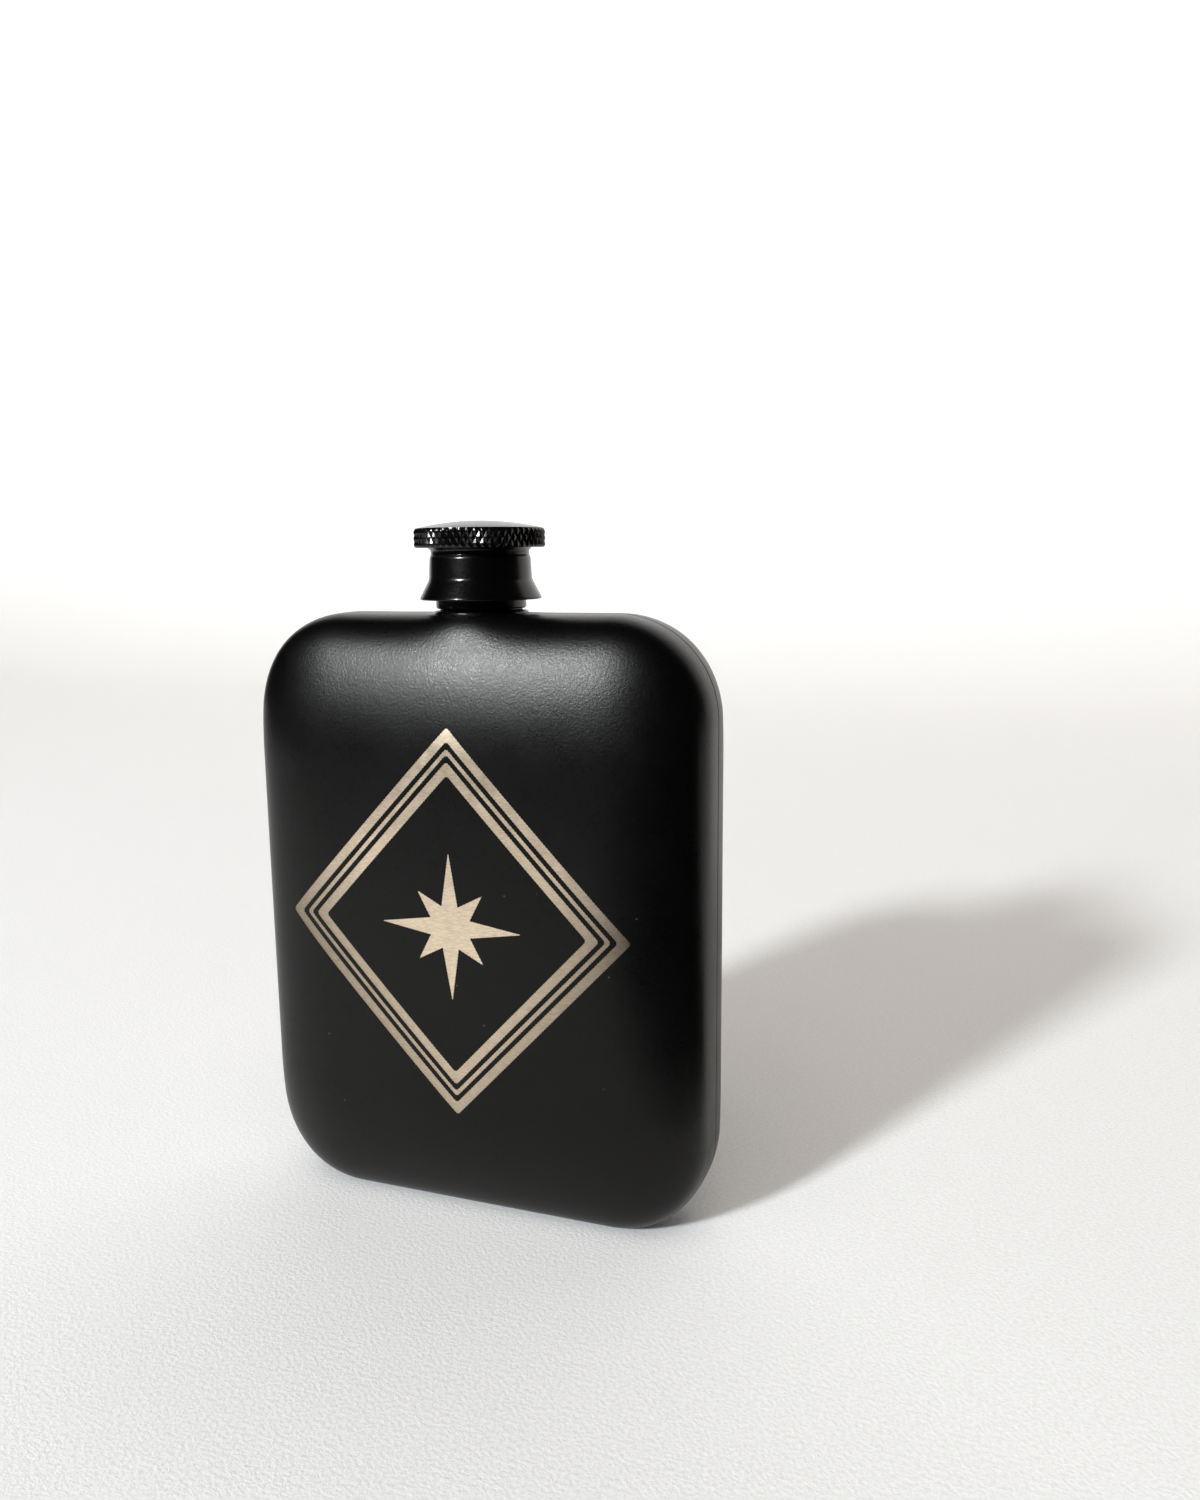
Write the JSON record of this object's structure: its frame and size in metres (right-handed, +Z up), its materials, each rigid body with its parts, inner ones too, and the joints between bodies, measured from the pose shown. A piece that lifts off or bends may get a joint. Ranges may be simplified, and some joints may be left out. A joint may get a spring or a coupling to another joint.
{
  "type": "hip flask",
  "caption": "Pillow-shaped black steel hip flask with a lozenge engraving, a threaded neck and a knurled screw cap.",
  "frame": {"origin": "on the ground under the neck's axis, at the middle of the foot", "axes": "+Z up along the neck, +X across the flask's width, -Y out of the engraved front"},
  "size_m": [0.0844, 0.028, 0.1239],
  "materials": {
    "body_coat": "matte black powder coat on stainless steel, laser engraved to bare steel",
    "neck_coat": "satin black coat on stainless steel",
    "cap_coat": "semi-gloss black coat on turned steel",
    "bare_steel": "turned stainless steel",
    "silicone": "soft translucent silicone"
  },
  "bodies": {
    "flask": {"front_shell": "body_coat", "rear_shell": "body_coat", "seam_weld": "body_coat", "neck_fitting": "neck_coat", "neck_weld": "neck_coat"},
    "seal": {"seal": "silicone"},
    "cap": {"cap_shell": "cap_coat", "cap_insert": "bare_steel"}
  },
  "joints": [
    {"name": "cap_rise", "type": "slide", "parent": "flask", "child": "seal", "axis": [0, 0, 1], "range_m": [0, 0.01201]},
    {"name": "cap_turn", "type": "hinge", "parent": "seal", "child": "cap", "pos_m": [0, 0, 0.115], "axis": [0, 0, 1], "range_deg": [0, 2880]}
  ],
  "couplings": [
    {"joint": "cap_rise", "follows": "cap_turn", "m_per_rad": 0.00023873}
  ]
}
